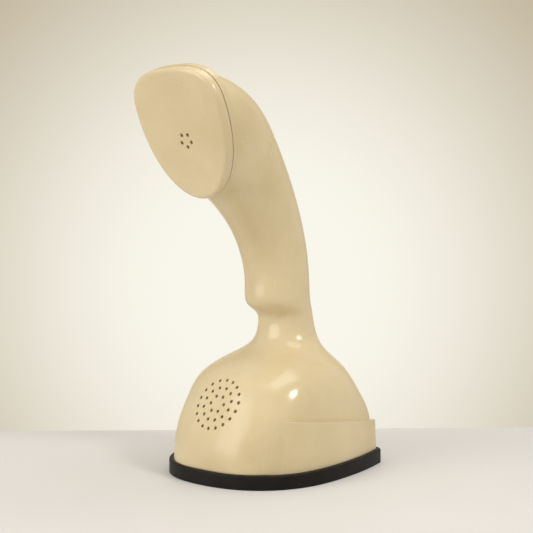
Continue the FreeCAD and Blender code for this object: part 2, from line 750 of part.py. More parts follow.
def gear(teeth, module, thickness, bore, x, y, z, turn):
    blank = Part.Face(gear_wire(teeth, module)).extrude(Vector(0, 0, thickness))
    if bore:
        blank = blank.cut(Part.makeCylinder(bore, thickness + 2, Vector(0, 0, -1)))
    blank.Placement = Placement(Vector(x, y, z), Rotation(Vector(0, 0, 1), turn))
    return blank


GOVERNOR_ANGLE = 75


def mesh_turn(teeth, toward):
    """Turn of a gear that puts the middle of a tooth gap toward a direction."""
    return toward + 180.0 / teeth


def gear_train():
    dial_y, gap = size("dial_y"), size("running_gap")
    lower, upper, plate = size("frame_lower"), size("frame_upper"), size("frame_thickness")
    main_teeth, pinion, idler, fast = (int(size(name)) for name in
                                       ("main_teeth", "pinion_teeth", "idler_teeth", "governor_teeth"))
    coarse, fine = size("main_module"), size("fast_module")
    idler_x = -(main_teeth + pinion) * coarse / 2
    reach = (idler + fast) * fine / 2
    turn = math.radians(GOVERNOR_ANGLE)
    governor_x, governor_y = idler_x + reach * math.cos(turn), dial_y + reach * math.sin(turn)

    top = size("plunger_top") - 2.2
    shaft = tube("shaft_radius", "shaft_bore", "%s - wheel_bottom - 3.6" % top, "0", "dial_y",
                 "wheel_bottom + 3.6")
    keep(shaft, "dial_shaft")
    keep(solid_feature(gear(main_teeth, coarse, 1.5, size("shaft_radius"), 0, dial_y, 20, 0)), "main_gear")

    spindle = Part.makeCylinder(1.2, upper + plate - lower, Vector(idler_x, dial_y, lower))
    small = gear(pinion, coarse, 3, 0, idler_x, dial_y, 19.2, mesh_turn(pinion, 0))
    large = gear(idler, fine, 1.5, 0, idler_x, dial_y, 15.6, 0)
    keep(solid_feature(spindle.fuse([small, large])), "intermediate_gear")
    hub = Part.makeCylinder(4.4, 1.4, Vector(idler_x, dial_y, 13))
    lobes = Part.makeBox(11, 3, 1.4, Vector(idler_x - 5.5, dial_y - 1.5, 13))
    core = Part.makeCylinder(1.2, 3, Vector(idler_x, dial_y, 12.5))
    keep(solid_feature(hub.fuse(lobes).cut(core)), "impulse_cam")

    rod = Part.makeCylinder(0.9, 31.5 - lower, Vector(governor_x, governor_y, lower))
    toward = math.degrees(math.atan2(dial_y - governor_y, idler_x - governor_x))
    gap_middle = mesh_turn(fast, toward)
    phase = gear_phase(idler, GOVERNOR_ANGLE)
    worm = gear(fast, fine, 3, 0, governor_x, governor_y, 14.8, gap_middle + phase * idler / fast)
    keep(solid_feature(rod.fuse(worm)), "governor_spindle")
    bar = Part.makeBox(9, 1.2, 1, Vector(governor_x - 4.5, governor_y - 0.6, 29))
    weights = [Part.makeCylinder(1.5, 2.6, Vector(governor_x + side * 3.9, governor_y, 28.2))
               for side in (-1, 1)]
    axle = Part.makeCylinder(0.9, 10, Vector(governor_x, governor_y, 25))
    keep(solid_feature(bar.fuse(weights).cut(axle)), "governor_weights")
    cup = Part.makeCylinder(7, 7, Vector(governor_x, governor_y, upper + plate))
    room = Part.makeCylinder(6.2, 8, Vector(governor_x, governor_y, upper + plate + 0.8))
    keep(solid_feature(cup.cut([room, Part.makeCylinder(0.9 + gap, 9, Vector(governor_x, governor_y, 24))])),
         "governor_cup")
    frame_plates(idler_x, governor_x, governor_y)


def gear_phase(teeth, direction):
    """How far a direction lies past a gear's nearest tooth, in degrees."""
    pitch = 360.0 / teeth
    return (direction + pitch / 2) % pitch - pitch / 2


def frame_plates(idler_x, governor_x, governor_y):
    dial_y, gap = size("dial_y"), size("running_gap")
    lower, upper, plate = size("frame_lower"), size("frame_upper"), size("frame_thickness")
    radius = size("frame_plate_radius")
    bores = ((0, dial_y, size("shaft_radius") + gap), (idler_x, dial_y, 1.2 + gap),
             (governor_x, governor_y, 0.9 + gap))
    holes = [Part.makeCylinder(bore, 40, Vector(x, y, 0)) for x, y, bore in bores]
    feet = [Part.makeCylinder(1.2, 40, Vector(27 * math.cos(math.radians(angle)),
                                              dial_y + 27 * math.sin(math.radians(angle)), 0))
            for angle in (45, 165, 285)]
    low = Part.makeCylinder(radius, plate, Vector(0, dial_y, lower))
    keep(solid_feature(low.cut(holes + feet)), "dial_frame")
    high = Part.makeCylinder(radius - 2, plate, Vector(0, dial_y, upper))
    front = Part.makeBox(80, 40, 60, Vector(-40, dial_y - 60.5, 0))
    keep(solid_feature(high.cut(holes + [front])), "upper_frame_plate")
    posts = [cylinder("2", "frame_upper - frame_lower - frame_thickness", *dial_at(24.5, angle),
                      "frame_lower + frame_thickness") for angle in (25, 105, 315)]
    keep(group(*posts), "frame_posts")
    screws = []
    for angle in (45, 165, 285):
        head = cylinder("2.4", "0.9", *dial_at(27, angle), "well_roof - 1.7")
        shank = cylinder("1.2", "4.4", *dial_at(27, angle), "well_roof - 0.9")
        screws.append(fuse(head, shank))
    keep(group(*screws), "dial_screws")


def mainspring():
    """Flat spiral return spring between the shaft and a post."""
    strip = []
    turns = 4.5
    for step in range(int(turns * 16) + 1):
        angle = 2 * math.pi * step / 16
        radius = size("shaft_radius") + 0.35 + 1.1 * step / 16
        strip.append((radius, angle))
    outward = [Vector((r + 0.35) * math.cos(a), (r + 0.35) * math.sin(a), 0) for r, a in strip]
    inward = [Vector(r * math.cos(a), r * math.sin(a), 0) for r, a in strip]
    face = Part.Face(Part.makePolygon(outward + inward[::-1] + outward[:1]))
    keep(solid_feature(face.extrude(Vector(0, 0, 2.2)), Placement(Vector(0, size("dial_y"), 22.3), Rotation())),
         "mainspring")


def impulse_contacts():
    base = block("5", "6", "6", "-18", "dial_y - 14.5", "frame_lower + frame_thickness")
    blades = [block("0.4", "13", "1.6", "%.1f" % x, "dial_y - 4.5", "frame_lower + frame_thickness + 1")
              for x in (-25.0, -26.6)]
    foot = block("10", "2", "3.2", "-22", "dial_y - 12", "frame_lower + frame_thickness")
    keep(fuse(base, foot, *blades), "impulse_contacts")


# ---------------------------------------------------------------- hook switch
def hook_switch():
    button = turned([("0", "button_bottom"), ("button_radius - 0.8", "button_bottom"),
                     ("button_radius", "button_bottom + 0.8"), ("button_radius", "button_bottom + button_height"),
                     ("plunger_radius", "button_bottom + button_height"), ("plunger_radius", "plunger_top"),
                     ("0", "plunger_top")])
    keep(move_to(button, "0", "dial_y", "0"), "hook_button")
    coil = tube("3.9", "3.0", "2.2", "0", "dial_y", "button_bottom + button_height + 0.05")
    keep(coil, "hook_return_spring")
    stack = block("8", "9", "7.5", "19", "dial_y", "frame_upper + frame_thickness")
    leaves = [block("24", "3", "0.3", "8", "dial_y", "plunger_top + %.1f" % rise) for rise in (0.2, 1.7, 3.2)]
    keep(fuse(stack, *leaves), "hook_contacts")


# ---------------------------------------------------------------- board, its parts and the leads
def board():
    top = "board_height + board_thickness"
    half, front, back = "board_half_width", "board_front", "board_back"
    card = padded([("-" + half, front), (half, front), (half, back + " - 8"), (half + " - 8", back),
                   ("8 - " + half, back), ("-" + half, back + " - 8")], "board_thickness")
    move_to(card, "0", "0", "board_height")
    corners = [(x, y) for x in (-28.5, 28.5) for y in (-6.0, 28.0)]
    holes = [cylinder("1.5", "4", str(x), str(y), "board_height - 1") for x, y in corners]
    keep(cut(card, *holes), "circuit_board")
    roof = "well_roof + well_roof_thickness"
    pillars = [cylinder("2.6", "board_height - (%s)" % roof, str(x), str(y), roof) for x, y in corners]
    keep(group(*pillars), "board_pillars")
    screws = [fuse(cylinder("2.4", "1.2", str(x), str(y), top), cylinder("1.3", "1.6", str(x), str(y),
                                                                       "board_height"))
              for x, y in corners]
    keep(group(*screws), "board_screws")
    core = cut(block("17", "14", "12", "-13", "12", top), block("13", "16", "8", "-13", "12", top + " + 2"))
    leg = block("4", "14", "8", "-13", "12", top + " + 2")
    keep(fuse(core, leg), "induction_coil_core")
    keep(cut(block("12.6", "17", "7.6", "-13", "12", top + " + 2.2"),
             block("4.2", "20", "9", "-13", "12", top + " + 1.5")), "induction_coil_winding")
    keep(tube("10", "8.6", "9", "13", "13", top), "call_sounder_case")
    keep(cylinder("8.4", "0.4", "13", "13", top + " + 7"), "call_sounder_diaphragm")
    keep(block("16", "7", "10", "12", "-5", top), "capacitor")
    bodies = [block("6.5", "2.4", "2.4", "-14", str(y), top) for y in (-4, 0)]
    keep(group(*bodies), "resistors")
    keep(block("30", "7", "8", "0", "30", top), "terminal_block")


def handle_leads():
    """The bundle of leads from the terminal block up the handle to the receiver."""
    top = size("board_height + board_thickness") + 8
    start = ear_place(0, 9, -size("receiver_thickness") - 1.3).Base
    route = [start, start + ear_place().Rotation.multVec(Vector(0, 0, -6)), Vector(0, -11, 171),
             Vector(0, 3, 150), Vector(0, 12, 128), Vector(0, 17, 105), Vector(0, 21, 82), Vector(0, 22, 64),
             Vector(0, 30, 55), Vector(0, 30, top)]
    radius = 1.6
    edges, last = [], route[0]
    for before, corner, after in zip(route, route[1:], route[2:]):
        back, ahead = (before - corner), (after - corner)
        shorter = min(back.Length, ahead.Length)
        back.normalize()
        ahead.normalize()
        half_turn = (math.pi - back.getAngle(ahead)) / 2
        bend = 0.45 * shorter / math.tan(half_turn)
        first, second = corner + back * 0.45 * shorter, corner + ahead * 0.45 * shorter
        inward = (back + ahead).normalize()
        middle = corner + inward * (bend / math.cos(half_turn) - bend)
        edges += [Part.LineSegment(last, first).toShape(), Part.Arc(first, middle, second).toShape()]
        last = second
    edges.append(Part.LineSegment(last, route[-1]).toShape())
    spine = Part.Wire(edges)
    profile = Part.Wire([Part.Circle(route[0], route[1] - route[0], radius).toShape()])
    keep(solid_feature(spine.makePipeShell([profile], True, True)), "handle_leads")


def check_and_write():
    doc.recompute()
    failed = [item.Label for item in doc.Objects if "Invalid" in item.State or "Error" in item.State]
    for piece in SUBPARTS:
        if piece.Shape.isNull() or not piece.Shape.isValid() or not piece.Shape.Solids:
            failed.append(piece.Label)
    if failed:
        raise RuntimeError("failed: " + ", ".join(failed))
    os.makedirs("parts", exist_ok=True)
    for piece in SUBPARTS:
        piece.Shape.exportStep("parts/%s.step" % piece.Label)
    print(len(SUBPARTS), "sub-parts written")


housing()
ear_cap()
receiver()
microphone()
foot_ring()
base_plate()
cord_grommet()
dial_face()
gear_train()
mainspring()
impulse_contacts()
hook_switch()
board()
handle_leads()
check_and_write()
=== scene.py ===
import math

import bpy
from mathutils import Matrix, Vector


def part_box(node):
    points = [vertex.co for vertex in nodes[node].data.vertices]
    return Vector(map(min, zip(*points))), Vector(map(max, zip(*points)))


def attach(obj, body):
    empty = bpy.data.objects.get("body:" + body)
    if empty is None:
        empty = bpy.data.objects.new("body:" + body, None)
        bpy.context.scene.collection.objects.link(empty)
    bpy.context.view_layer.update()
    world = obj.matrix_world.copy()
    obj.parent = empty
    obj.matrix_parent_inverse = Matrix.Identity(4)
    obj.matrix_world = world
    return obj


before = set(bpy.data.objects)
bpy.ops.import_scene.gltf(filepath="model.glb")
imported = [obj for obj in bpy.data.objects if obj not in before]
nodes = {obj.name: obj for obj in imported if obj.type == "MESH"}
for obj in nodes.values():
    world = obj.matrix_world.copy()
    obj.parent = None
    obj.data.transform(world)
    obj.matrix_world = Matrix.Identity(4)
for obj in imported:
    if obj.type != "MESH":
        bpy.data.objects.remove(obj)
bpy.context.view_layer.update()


# ---------------------------------------------------------------- housing
# The dome, neck, handle and hood are one injection moulding in ivory ABS, 2.6 mm thick.
# It is screwed to the base plate from below. The moulding is glossy, with softened edges,
# and decades of handling have yellowed it a little and left hairlines and a few specks.
def linear(hex_colour):
    """An sRGB hex colour as linear red, green, blue and alpha."""
    parts = [int(hex_colour[i:i + 2], 16) / 255 for i in (1, 3, 5)]
    return [c / 12.92 if c <= 0.04045 else ((c + 0.055) / 1.055) ** 2.4 for c in parts] + [1.0]


def add(material, kind, settings, links):
    """Adds a shader node with its settings and links. Sockets go by their identifiers."""
    tree = material.node_tree
    node = tree.nodes.new("ShaderNode" + kind)
    sockets = {socket.identifier: socket for socket in node.inputs}
    for name, value in settings.items():
        if name in sockets:
            sockets[name].default_value = value
        else:
            setattr(node, name, value)
    for name, source in links.items():
        tree.links.new(source, sockets[name])
    return node


def new_material(name):
    """An empty node material with the coordinates that patterns are laid out in."""
    material = bpy.data.materials.new(name)
    material.use_nodes = True
    material.node_tree.nodes.clear()
    place = add(material, "TexCoord", {}, {}).outputs["Object"]
    return material, place


def show(material, shader):
    """Joins a shader to the material's output."""
    add(material, "OutputMaterial", {}, {"Surface": shader.outputs[0]})
    return material


def dress(names, material):
    """Gives CAD nodes a finish."""
    for name in names:
        slots = nodes[name].data.materials
        slots.clear()
        slots.append(material)
        for polygon in nodes[name].data.polygons:
            polygon.material_index = 0


MM = 0.001


def ivory_moulding(name, shade, light, aged):
    """Moulded ABS, glossy. Large soft patches of yellowing, hairline scratches and dark specks;
    a faint ripple from the mould makes its reflections slightly uneven."""
    material, place = new_material(name)
    soft_edge = add(material, "Bevel", {"samples": 6, "Radius": 0.9 * MM}, {})
    ageing = add(material, "TexNoise", {"Scale": 1 / (55 * MM), "Detail": 3.0}, {"Vector": place})
    patches = add(material, "MapRange", {"From Min": 0.38, "From Max": 0.68},
                  {"Value": ageing.outputs["Fac"]})
    body = add(material, "Mix",
               {"data_type": "RGBA", "A_Color": linear(light), "B_Color": linear(shade)},
               {"Factor_Float": patches.outputs["Result"]})
    tint = add(material, "TexNoise", {"Scale": 1 / (16 * MM), "Detail": 5.0, "Roughness": 0.6},
               {"Vector": place})
    tint_share = add(material, "MapRange", {"From Min": 0.55, "From Max": 0.9, "To Max": 0.5},
                     {"Value": tint.outputs["Fac"]})
    yellowed = add(material, "Mix", {"data_type": "RGBA", "B_Color": linear(aged)},
                   {"Factor_Float": tint_share.outputs["Result"], "A_Color": body.outputs[2]})
    speck_field = add(material, "TexVoronoi", {"Scale": 1 / (9 * MM), "Randomness": 1.0},
                      {"Vector": place})
    speck = add(material, "MapRange",
                {"From Min": 0.022, "From Max": 0.036, "To Min": 0.55, "To Max": 0.0},
                {"Value": speck_field.outputs["Distance"]})
    speckled = add(material, "Mix", {"data_type": "RGBA", "B_Color": linear("#6B5228")},
                   {"Factor_Float": speck.outputs["Result"], "A_Color": yellowed.outputs[2]})
    stretched = add(material, "Mapping", {"Rotation": (0.4, 0.7, 0.2), "Scale": (1.0, 1.0, 0.03)},
                    {"Vector": place})
    hairline = add(material, "TexNoise", {"Scale": 1 / (0.7 * MM), "Detail": 2.0},
                   {"Vector": stretched.outputs["Vector"]})
    scratch = add(material, "MapRange",
                  {"From Min": 0.66, "From Max": 0.78, "To Min": 0.0, "To Max": 0.16},
                  {"Value": hairline.outputs["Fac"]})
    handled = add(material, "TexNoise", {"Scale": 1 / (30 * MM), "Detail": 4.0}, {"Vector": place})
    polish = add(material, "MapRange",
                 {"From Min": 0.3, "From Max": 0.7, "To Min": 0.16, "To Max": 0.27},
                 {"Value": handled.outputs["Fac"]})
    gloss = add(material, "Math", {"operation": "ADD"},
                {"Value": polish.outputs["Result"], "Value_001": scratch.outputs["Result"]})
    ripple = add(material, "TexNoise", {"Scale": 1 / (7 * MM), "Detail": 2.0}, {"Vector": place})
    relief = add(material, "Bump", {"Strength": 0.35, "Distance": 0.05 * MM},
                 {"Height": ripple.outputs["Fac"], "Normal": soft_edge.outputs["Normal"]})
    shader = add(material, "BsdfPrincipled",
                 {"IOR": 1.54, "Subsurface Weight": 0.08, "Subsurface Radius": (1.0, 0.7, 0.35),
                  "Subsurface Scale": 1.5 * MM},
                 {"Base Color": speckled.outputs[2], "Roughness": gloss.outputs[0],
                  "Normal": relief.outputs["Normal"]})
    return show(material, shader)


ivory_abs = ivory_moulding("ivory_abs_glossy", "#C9B68D", "#D5C49E", "#C2AC78")
dress(["housing"], ivory_abs)


# ---------------------------------------------------------------- ear cap
# A shallow lid moulded in the same ivory ABS, with a rounded rim and a slightly dished face.
# Its lip clips inside the hood. It was made in another shot, so its tint is a touch paler.
ivory_cap = ivory_moulding("ivory_abs_cap", "#CBB890", "#D5C49F", "#C6B07F")
dress(["ear_cap"], ivory_cap)


# ---------------------------------------------------------------- foot ring and seals
# The ring that the telephone stands on is black rubber, press-moulded and stretched over the
# rim of the base. The line cord's grommet and the capsule gaskets are the same rubber.
def rubber(name, dark, light, grain_mm):
    """Black natural rubber, dull, with a faint bloom and a fine moulded grain. The grain is drawn
    about three times as coarse as it is, so that it shows."""
    material, place = new_material(name)
    bloom = add(material, "TexNoise", {"Scale": 1 / (12 * MM), "Detail": 5.0, "Roughness": 0.65},
                {"Vector": place})
    share = add(material, "MapRange", {"From Min": 0.35, "From Max": 0.75},
                {"Value": bloom.outputs["Fac"]})
    colour = add(material, "Mix",
                 {"data_type": "RGBA", "A_Color": linear(dark), "B_Color": linear(light)},
                 {"Factor_Float": share.outputs["Result"]})
    grain = add(material, "TexNoise", {"Scale": 1 / (grain_mm * MM), "Detail": 3.0}, {"Vector": place})
    sheen = add(material, "MapRange",
                {"From Min": 0.3, "From Max": 0.7, "To Min": 0.42, "To Max": 0.6},
                {"Value": grain.outputs["Fac"]})
    relief = add(material, "Bump", {"Strength": 0.5, "Distance": 0.06 * MM},
                 {"Height": grain.outputs["Fac"]})
    shader = add(material, "BsdfPrincipled", {"IOR": 1.52, "Specular IOR Level": 0.18},
                 {"Base Color": colour.outputs[2], "Roughness": sheen.outputs["Result"],
                  "Normal": relief.outputs["Normal"]})
    return show(material, shader)


black_rubber = rubber("black_rubber_moulded", "#0A0705", "#1A1410", 0.9)
RUBBER_PARTS = ["foot_ring", "cord_grommet", "ear_gasket", "microphone_gasket"]
dress(RUBBER_PARTS, black_rubber)


# ---------------------------------------------------------------- base plate
# The plate that closes the base is black ABS with a spark-eroded texture, moulded with the
# well for the dial. Four countersunk steel screws hold it to the housing's bosses.
def textured_black(name, dark, light, grain_mm, gloss):
    """Black ABS from a textured mould: an even leathery grain that keeps reflections dull."""
    material, place = new_material(name)
    wear = add(material, "TexNoise", {"Scale": 1 / (18 * MM), "Detail": 4.0}, {"Vector": place})
    colour = add(material, "Mix",
                 {"data_type": "RGBA", "A_Color": linear(dark), "B_Color": linear(light)},
                 {"Factor_Float": wear.outputs["Fac"]})
    pits = add(material, "TexVoronoi", {"feature": "SMOOTH_F1", "Scale": 1 / (grain_mm * MM)},
               {"Vector": place})
    sheen = add(material, "MapRange", {"From Max": 0.8, "To Min": gloss, "To Max": gloss + 0.15},
                {"Value": pits.outputs["Distance"]})
    relief = add(material, "Bump", {"Strength": 0.6, "Distance": 0.08 * MM},
                 {"Height": pits.outputs["Distance"]})
    shader = add(material, "BsdfPrincipled", {"IOR": 1.54},
                 {"Base Color": colour.outputs[2], "Roughness": sheen.outputs["Result"],
                  "Normal": relief.outputs["Normal"]})
    return show(material, shader)


black_abs = textured_black("black_abs_textured", "#1B1A19", "#2C2A28", 1.1, 0.42)
dress(["base_plate"], black_abs)


# ---------------------------------------------------------------- screws, brackets and frame
# The screws, straps and frame plates are mild steel, zinc-plated and rolled. Plating gives
# a cool, slightly cloudy lustre that is broken by the fine lines of the rolled sheet.
def plated_metal(name, dark, light, roughness, grain_mm):
    """A plated or bare metal. Fine stretched lines from rolling or turning, and soft clouds."""
    material, place = new_material(name)
    clouds = add(material, "TexNoise", {"Scale": 1 / (8 * MM), "Detail": 4.0}, {"Vector": place})
    share = add(material, "MapRange", {"From Min": 0.3, "From Max": 0.7},
                {"Value": clouds.outputs["Fac"]})
    colour = add(material, "Mix",
                 {"data_type": "RGBA", "A_Color": linear(dark), "B_Color": linear(light)},
                 {"Factor_Float": share.outputs["Result"]})
    drawn_out = add(material, "Mapping", {"Scale": (0.06, 1.0, 1.0)}, {"Vector": place})
    lines = add(material, "TexNoise", {"Scale": 1 / (grain_mm * MM), "Detail": 3.0},
                {"Vector": drawn_out.outputs["Vector"]})
    sheen = add(material, "MapRange",
                {"From Min": 0.25, "From Max": 0.75, "To Min": roughness - 0.07,
                 "To Max": roughness + 0.1}, {"Value": lines.outputs["Fac"]})
    relief = add(material, "Bump", {"Strength": 0.25, "Distance": 0.01 * MM},
                 {"Height": lines.outputs["Fac"]})
    shader = add(material, "BsdfPrincipled", {"Metallic": 1.0},
                 {"Base Color": colour.outputs[2], "Roughness": sheen.outputs["Result"],
                  "Normal": relief.outputs["Normal"]})
    return show(material, shader)


zinc_steel = plated_metal("zinc_plated_steel", "#9DA0A3", "#C9CBCD", 0.3, 0.5)
STEEL_PARTS = ["base_screws", "dial_screws", "board_screws", "receiver_screws",
               "microphone_screws", "receiver_bracket", "microphone_bracket", "dial_frame",
               "upper_frame_plate", "frame_posts", "board_pillars", "finger_stop"]
dress(STEEL_PARTS, zinc_steel)


# ---------------------------------------------------------------- finger wheel
# The wheel is ivory ABS, turned by a fingertip in one of its ten holes. It is moulded
# like the ear cap and has the same paler tint and gloss.
dress(["finger_wheel"], ivory_cap)


# ---------------------------------------------------------------- number ring
# A pressed ring, enamelled satin white, lies in the roof of the well. The ten numbers are
# printed on it in black, one seen through each finger hole when the dial is at rest.
def enamel(name, shade, light, roughness):
    """Stoved enamel on sheet metal: opaque and even, with a faint orange-peel."""
    material, place = new_material(name)
    clouds = add(material, "TexNoise", {"Scale": 1 / (20 * MM), "Detail": 3.0}, {"Vector": place})
    colour = add(material, "Mix",
                 {"data_type": "RGBA", "A_Color": linear(shade), "B_Color": linear(light)},
                 {"Factor_Float": clouds.outputs["Fac"]})
    peel = add(material, "TexNoise", {"Scale": 1 / (1.2 * MM), "Detail": 2.0}, {"Vector": place})
    sheen = add(material, "MapRange", {"From Min": 0.3, "From Max": 0.7, "To Min": roughness,
                                       "To Max": roughness + 0.08}, {"Value": peel.outputs["Fac"]})
    relief = add(material, "Bump", {"Strength": 0.2, "Distance": 0.02 * MM},
                 {"Height": peel.outputs["Fac"]})
    shader = add(material, "BsdfPrincipled", {"IOR": 1.5},
                 {"Base Color": colour.outputs[2], "Roughness": sheen.outputs["Result"],
                  "Normal": relief.outputs["Normal"]})
    return show(material, shader)


dress(["number_ring"], enamel("white_enamel", "#D9D4C6", "#EBE7DC", 0.32))

wheel_low, wheel_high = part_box("finger_wheel")
dial_middle = (wheel_low + wheel_high) / 2
ring_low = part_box("number_ring")[0]
printing_ink = enamel("black_printing_ink", "#16130F", "#25211B", 0.45)
NUMBER_RADIUS = 28.4 * MM
NUMBER_HEIGHT = 6.5 * MM
INK_THICKNESS = 0.06 * MM
HOLES = 10
HOLE_PITCH = 30  # degrees between holes; the first one lies a pitch before the +X side
for hole in range(HOLES):
    turn = math.radians(HOLE_PITCH * (hole - 1))
    digit = (HOLES - hole) % HOLES
    drawing = bpy.data.curves.new(f"number_{digit}_outline", "FONT")
    drawing.body = str(digit)
    drawing.align_x = "CENTER"
    drawing.align_y = "CENTER"
    drawing.size = NUMBER_HEIGHT
    drawing.extrude = INK_THICKNESS / 2
    number = bpy.data.objects.new(f"number_{digit}", drawing)
    bpy.context.collection.objects.link(number)
    number.location = (dial_middle.x + NUMBER_RADIUS * math.cos(turn),
                       dial_middle.y + NUMBER_RADIUS * math.sin(turn),
                       ring_low.z - INK_THICKNESS / 2)
    number.rotation_euler = (math.pi, 0, 0)
    drawing.materials.append(printing_ink)
    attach(number, "telephone")


# ---------------------------------------------------------------- hook button
# The button in the middle of the dial is red ABS. The telephone's weight holds it in, and
# its spring pushes it out as the telephone is lifted.
def coloured_moulding(name, shade, light, roughness):
    """Glossy coloured ABS, darker in its worn and dusty patches."""
    material, place = new_material(name)
    dust = add(material, "TexNoise", {"Scale": 1 / (6 * MM), "Detail": 5.0}, {"Vector": place})
    colour = add(material, "Mix",
                 {"data_type": "RGBA", "A_Color": linear(shade), "B_Color": linear(light)},
                 {"Factor_Float": dust.outputs["Fac"]})
    rub = add(material, "TexNoise", {"Scale": 1 / (1.5 * MM), "Detail": 3.0}, {"Vector": place})
    sheen = add(material, "MapRange", {"From Min": 0.3, "From Max": 0.7, "To Min": roughness,
                                       "To Max": roughness + 0.12}, {"Value": rub.outputs["Fac"]})
    relief = add(material, "Bump", {"Strength": 0.2, "Distance": 0.02 * MM},
                 {"Height": rub.outputs["Fac"]})
    shader = add(material, "BsdfPrincipled", {"IOR": 1.54},
                 {"Base Color": colour.outputs[2], "Roughness": sheen.outputs["Result"],
                  "Normal": relief.outputs["Normal"]})
    return show(material, shader)


dress(["hook_button"], coloured_moulding("red_abs_glossy", "#7E120E", "#A81E17", 0.2))


# ---------------------------------------------------------------- gear train
# Brass wheels, pinions and spindles, hobbed and left bare, warm and bright with soft dull
# clouds. The capsules' small brass pieces are finished the same way.
turned_brass = plated_metal("turned_brass", "#A8823E", "#D9B667", 0.28, 0.35)
BRASS_PARTS = ["dial_shaft", "main_gear", "intermediate_gear", "governor_spindle",
               "governor_weights", "governor_cup", "receiver_terminals",
               "microphone_carbon_chamber", "call_sounder_diaphragm"]
dress(BRASS_PARTS, turned_brass)


# ---------------------------------------------------------------- springs and magnet
# The mainspring and the hook's return spring are hardened spring steel, blued by tempering.
# The receiver's magnet and the induction coil's iron core are as dark, and share the finish.
blued_steel = plated_metal("blued_spring_steel", "#3B4250", "#5E6675", 0.26, 0.4)
SPRING_PARTS = ["mainspring", "hook_return_spring", "receiver_magnet", "induction_coil_core"]
dress(SPRING_PARTS, blued_steel)


# ---------------------------------------------------------------- capsules
# The receiver and microphone capsules, and the can of the capacitor, are spun and pressed
# from aluminium sheet. Spinning leaves it pale, soft and satin.
spun_aluminium = plated_metal("spun_aluminium", "#B4B6B8", "#DADCDD", 0.36, 0.8)
ALUMINIUM_PARTS = ["receiver_case", "receiver_diaphragm", "microphone_case",
                   "microphone_front_plate", "microphone_diaphragm", "capacitor"]
dress(ALUMINIUM_PARTS, spun_aluminium)


# ---------------------------------------------------------------- contacts, cam and terminals
# The contact stacks, the cam, the terminal block and the cases of the sounder and the
# resistors are black phenolic resin, harder and glossier than the base plate, with a faint
# mottle of its wood filler.
phenolic = coloured_moulding("black_phenolic_resin", "#17120E", "#2A211A", 0.25)
PHENOLIC_PARTS = ["impulse_cam", "impulse_contacts", "hook_contacts", "terminal_block",
                  "call_sounder_case", "resistors"]
dress(PHENOLIC_PARTS, phenolic)


# ---------------------------------------------------------------- circuit board and windings
# The board is brown paper laminate, and the coils are wound from enamelled copper wire, whose
# turns lie side by side as fine ribs. The leads up the handle are PVC-covered.
dress(["circuit_board"], enamel("paper_laminate", "#6E4A22", "#8A6432", 0.4))


def wound_copper(name, wire_mm):
    """Enamelled copper wire in close turns. The ribs are drawn about six times as coarse as
    the wire, so that they show."""
    material, place = new_material(name)
    turns = add(material, "TexWave", {"bands_direction": "X", "Scale": 1 / (20 * wire_mm * MM),
                                      "Distortion": 0.6}, {"Vector": place})
    # The wire's colour follows the ribs: painted shade in the grooves between turns and a painted
    # highlight on their crests.
    colour = add(material, "Mix",
                 {"data_type": "RGBA", "A_Color": linear("#6A2C14"), "B_Color": linear("#B5652F")},
                 {"Factor_Float": turns.outputs["Fac"]})
    relief = add(material, "Bump", {"Strength": 0.7, "Distance": 0.1 * MM},
                 {"Height": turns.outputs["Fac"]})
    sheen = add(material, "MapRange", {"To Min": 0.22, "To Max": 0.36}, {"Value": turns.outputs["Fac"]})
    shader = add(material, "BsdfPrincipled", {"Metallic": 0.75},
                 {"Base Color": colour.outputs[2], "Roughness": sheen.outputs["Result"],
                  "Normal": relief.outputs["Normal"]})
    return show(material, shader)


WINDINGS = ["induction_coil_winding", "receiver_coil"]
dress(WINDINGS, wound_copper("enamelled_copper_wire", 0.4))
dress(["handle_leads"], coloured_moulding("grey_pvc_covering", "#4A4A4C", "#68686B", 0.4))


# ---------------------------------------------------------------- table and backdrop
# The telephone stands on a pale matt table. Behind it hangs a warm backdrop standing for paper. It
# glows by itself
# though it is no lamp: a painted pool of light brightest behind the handle, with painted shade towards
# its edges.
def card(name, corners, material):
    """A flat four-cornered sheet that is part of the stage."""
    mesh = bpy.data.meshes.new(name)
    mesh.from_pydata(corners, [], [(0, 1, 2, 3)])
    thing = bpy.data.objects.new(name, mesh)
    bpy.context.collection.objects.link(thing)
    mesh.materials.append(material)


VIEW_TURN = math.radians(41.87)
VIEW_DISTANCE = 0.64
AIM_Y = 3 * MM
TABLE_EDGE = 0.112
TABLE_FRONT = 1.6
TABLE_HALF_WIDTH = 2.0
TABLE_TOP = -0.02 * MM  # just under the foot ring, so that the two faces never coincide
to_camera = Vector((math.sin(VIEW_TURN), -math.cos(VIEW_TURN), 0))
rightward = Vector((math.cos(VIEW_TURN), math.sin(VIEW_TURN), 0))
middle = Vector((0, AIM_Y, 0))


def stage_corners(near, far, half_width, low, high):
    """Corners of a card that faces the camera, given its ends along and across the view."""
    return [middle + to_camera * near - rightward * half_width + Vector((0, 0, low)),
            middle + to_camera * near + rightward * half_width + Vector((0, 0, low)),
            middle + to_camera * far + rightward * half_width + Vector((0, 0, high)),
            middle + to_camera * far - rightward * half_width + Vector((0, 0, high))]


table_paint, table_place = new_material("matt_table_paint")
table_fleck = add(table_paint, "TexNoise", {"Scale": 1 / (90 * MM), "Detail": 3.0},
                  {"Vector": table_place})
table_tone = add(table_paint, "Mix", {"data_type": "RGBA", "A_Color": linear("#D2D0CE"),
                                      "B_Color": linear("#D9D7D5")},
                 {"Factor_Float": table_fleck.outputs["Fac"]})
show(table_paint, add(table_paint, "BsdfPrincipled", {"Roughness": 0.55},
                      {"Base Color": table_tone.outputs[2]}))
card("table", stage_corners(TABLE_FRONT, -TABLE_EDGE, TABLE_HALF_WIDTH, TABLE_TOP, TABLE_TOP),
     table_paint)

